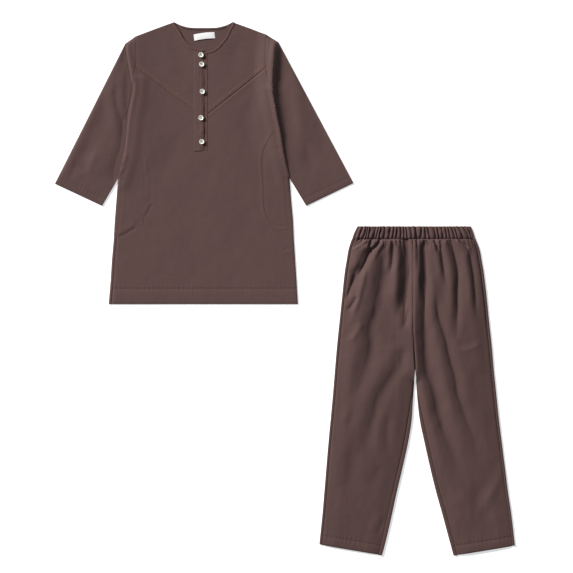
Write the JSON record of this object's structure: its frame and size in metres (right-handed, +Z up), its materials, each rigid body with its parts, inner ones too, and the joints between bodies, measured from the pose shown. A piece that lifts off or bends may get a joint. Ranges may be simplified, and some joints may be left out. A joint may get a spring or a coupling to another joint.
{
  "type": "thobe and trousers set, laid flat",
  "caption": "Collarless long tunic with V yoke, half placket and three-quarter sleeves, beside gathered-waist trousers, both lying flat.",
  "frame": {"origin": "on the table under the middle of the set", "axes": "+Y from the hems towards the necks, +X to the right of the set seen from above, +Z up off the table"},
  "size_m": [1.0389, 1.204, 0.0104],
  "materials": {
    "cloth": "matte dark brown poplin",
    "waistband": "the same poplin, gathered over elastic",
    "label": "plain white woven tape",
    "button": "pearly white"
  },
  "bodies": {
    "root": {"tunic_back": "cloth", "tunic_front": "cloth", "yoke_left": "cloth", "yoke_right": "cloth", "placket_under": "cloth", "placket_over": "cloth", "neck_binding_back": "cloth", "neck_binding_left": "cloth", "neck_binding_right": "cloth", "sleeve_left": "cloth", "sleeve_right": "cloth", "pocket_bag_left": "cloth", "pocket_bag_right": "cloth", "neck_label": "label", "button_1": "button", "button_2": "button", "button_3": "button", "button_4": "button", "button_5": "button", "leg_back_left": "cloth", "leg_back_right": "cloth", "leg_front_left": "cloth", "leg_front_right": "cloth", "waistband": "waistband"}
  },
  "joints": []
}
